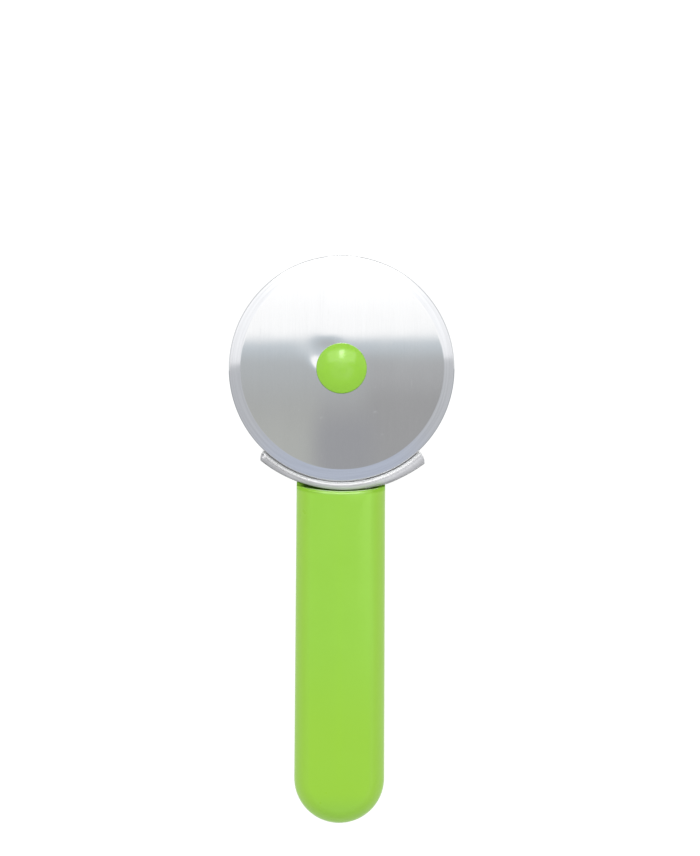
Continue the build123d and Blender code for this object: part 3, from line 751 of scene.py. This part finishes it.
smooth_shell("handle_front_shell", "handle_front_moulding")
smooth_shell("handle_back_shell", "handle_back_moulding")

# ------------------------------------------------------------------------- the floor
bpy.ops.mesh.primitive_plane_add(size=8.0, location=(0, 0, 0))
floor = bpy.context.object
floor.name = "studio_floor"
fm = bpy.data.materials.new("floor_white")
fm.use_nodes = True
fm.node_tree.nodes.clear()
g = Graph(fm.node_tree)
fout = g.add("ShaderNodeOutputMaterial")
co = g.add("ShaderNodeTexCoord").outputs["Object"]
dif = g.add("ShaderNodeBsdfDiffuse", {"Color": (0.16, 0.16, 0.16, 1.0)})
# Painted shadow: the floor's glow is switched off in the narrow slit between the wheel and the guard, so the slit
# shows dark.
r, a, dx, dy, z = polar(g, co, 0.0, HUB_Y * MM)
slit_shadow_mask = g.times(g.remap(r, 0.0325, 0.0345), g.remap(r, 0.0362, 0.0357))
slit_shadow_mask = g.times(slit_shadow_mask, g.times(g.remap(dy, -0.0245, -0.0265), g.remap(g.math("ABSOLUTE", dx), 0.0250, 0.0232)))
emi = g.add("ShaderNodeEmission", {"Color": (1.0, 1.0, 1.0, 1.0)})
link(g, g.times(g.minus(1.0, slit_shadow_mask), 0.93), emi.inputs["Strength"])
add = g.add("ShaderNodeAddShader", {0: dif.outputs[0], 1: emi.outputs[0]})
link(g, add.outputs[0], fout.inputs["Surface"])
floor.data.materials.append(fm)

# ------------------------------------------------------------------------- the world
scene = bpy.context.scene
world = bpy.data.worlds.new("studio")
scene.world = world
world.use_nodes = True
world.node_tree.nodes.clear()
g = Graph(world.node_tree)
wout = g.add("ShaderNodeOutputWorld")
bg = g.add("ShaderNodeBackground")
link(g, bg.outputs[0], wout.inputs["Surface"])
dx, dy, dz = g.xyz(g.add("ShaderNodeTexCoord").outputs["Generated"])
up = g.math("MAXIMUM", dz, 0.02)
u = g.math("DIVIDE", dx, up)
v = g.math("DIVIDE", dy, up)
uc = g.math("MINIMUM", g.math("MAXIMUM", u, -0.4), 0.4)
edge = g.plus(g.plus(g.times(uc, 0.021), 0.0444), g.times(g.times(uc, g.times(uc, uc)), 0.40))
t = g.minus(v, edge)                                  # height above the white card's lower edge
# what lies below the card: pale just under it, darker behind the camera, bluish further down
near = g.mix(g.remap(t, -0.002, -0.012), (0.60, 0.66, 0.71), (0.50, 0.525, 0.54))
near = g.mix(g.remap(t, -0.012, -0.040), near, (0.43, 0.435, 0.44))
left = g.mix(g.remap(t, -0.008, -0.055), near, (0.50, 0.512, 0.49))
near = g.mix(g.remap(u, -0.010, -0.021), near, left)
right = g.mix(g.remap(t, -0.016, -0.034), (0.462, 0.468, 0.480), (0.395, 0.396, 0.402))
near = g.mix(g.times(g.remap(u, 0.000, 0.014), g.remap(t, -0.006, -0.015)), near, right)
mid = g.times(g.remap(g.math("ABSOLUTE", g.plus(u, 0.003)), 0.022, 0.007), g.remap(t, -0.028, -0.050))
near = g.mix(mid, near, (0.375, 0.38, 0.40))
far = g.mix(g.remap(t, -0.07, -0.20), near, (0.46, 0.53, 0.64))
far = g.mix(g.remap(t, -0.5, -1.4), far, (0.52, 0.54, 0.57))
# the card itself, then the room beyond it
theta = g.math("ARCCOSINE", g.math("MINIMUM", dz, 1.0))
wide_low = g.mix(g.remap(g.math("DIVIDE", dy, g.math("MAXIMUM", g.math("SINE", theta), 0.01)), -0.35, -0.95), (0.560, 0.570, 0.595), (0.525, 0.565, 0.665))
far = g.mix(g.remap(theta, 0.085, 0.150), far, wide_low)
# low down on the right stands a second pale panel, seen only by the guard's lip
east = g.math("DIVIDE", dx, g.math("MAXIMUM", g.math("SINE", theta), 0.01))
far = g.mix(g.remap(theta, 0.20, 0.30), far, (0.74, 0.745, 0.76))
far = g.mix(g.times(g.remap(theta, 0.27, 0.36), g.remap(east, 0.20, 0.55)), far, (1.25, 1.25, 1.27))
far = g.mix(g.remap(theta, 0.50, 0.75), far, (0.46, 0.47, 0.49))
card = g.mix(g.remap(v, 0.052, 0.082), (1.165, 1.168, 1.172), (1.30, 1.30, 1.30))
card = g.mix(g.remap(theta, 0.085, 0.160), card, (1.16, 1.16, 1.17))
card = g.mix(g.times(g.remap(theta, 0.10, 0.16), g.remap(dy, 0.17, 0.24)), card, (1.34, 1.34, 1.34))
card = g.mix(g.times(g.remap(theta, 0.10, 0.17), g.remap(dy, 0.16, 0.02)), card, (0.99, 0.99, 1.01))
room = g.mix(g.remap(theta, 0.34, 0.52), card, (0.55, 0.555, 0.56))
room = g.mix(g.times(g.remap(theta, 0.90, 1.05), g.remap(g.math("ABSOLUTE", east), 0.35, 0.75)), room, (0.84, 0.845, 0.85))
sky = g.mix(g.remap(t, -0.0028, 0.0028), far, room)
sky = g.mix(g.remap(theta, 1.33, 1.405), sky, (1.0, 1.0, 1.0))
link(g, sky, bg.inputs["Color"])
bg.inputs["Strength"].default_value = 1.0


# ------------------------------------------------------------------------ the lights
def softbox(name, theta_deg, phi_deg, dist, sx, sy, radiance, colour=(1, 1, 1)):
    """Rectangular light, theta off the vertical towards phi (90 is +Y), aimed at the wheel's hub."""
    th, ph = math.radians(theta_deg), math.radians(phi_deg)
    d = Vector((math.sin(th) * math.cos(ph), math.sin(th) * math.sin(ph), math.cos(th)))
    data = bpy.data.lights.new(name, "AREA")
    data.shape = "RECTANGLE"
    data.size, data.size_y = sx, sy
    data.color = colour
    data.energy = radiance * math.pi * sx * sy
    o = bpy.data.objects.new(name, data)
    scene.collection.objects.link(o)
    o.location = Vector((0, HUB_Y * MM, 0)) + d * dist
    o.rotation_euler = (-d).to_track_quat("-Z", "Y").to_euler()
    return o


# From the side the wheel would mirror the wide box's corners as a hole in its disc, so it has a narrower one.
others, wheel = bpy.data.collections.new("others"), bpy.data.collections.new("wheel")
wheel.objects.link(blade)
for o in list(scene.objects):
    if o.type == "MESH" and o not in (blade, floor):
        others.objects.link(o)
wide = softbox("softbox", 40.0, 90.0, 1.2, 2.0, 0.86, 2.2)
narrow = softbox("softbox_wheel", 40.0, 90.0, 1.2, 1.3, 0.86, 2.2)
core = softbox("softbox_core", 45.5, 90.0, 1.19, 0.27, 0.50, 7.6)
wide.light_linking.receiver_collection = others
narrow.light_linking.receiver_collection = wheel
for o in (wide, narrow, core):
    o.visible_diffuse = False
overhead = softbox("overhead", 6.0, 90.0, 1.9, 2.6, 2.6, 1.08)
overhead.visible_glossy = False

# ------------------------------------------------------------------------ the camera
F_PX = 2005.0                        # focal length in pixels of the 700 x 856 frame
PX = 70.0 / 225.9                    # mm per pixel at the wheel
ROLL = math.radians(0.336)
rx, ry = (350.0 - 341.6) * PX, -(428.0 - 368.4) * PX
cam_data = bpy.data.cameras.new("camera")
cam = bpy.data.objects.new("camera", cam_data)
scene.collection.objects.link(cam)
cam_data.sensor_width = 36.0
cam_data.lens = F_PX * 36.0 / 856.0
cam_data.clip_start, cam_data.clip_end = 0.05, 20.0
cam.location = (
    (rx * math.cos(ROLL) - ry * math.sin(ROLL)) * MM,
    (HUB_Y + rx * math.sin(ROLL) + ry * math.cos(ROLL)) * MM,
    (BLADE_Z0 + 0.5 + F_PX * PX) * MM,
)
cam.rotation_euler = (0, 0, ROLL)
scene.camera = cam
scene.view_settings.view_transform = "Standard"
scene.view_settings.look = "None"

bpy.context.view_layer.update()
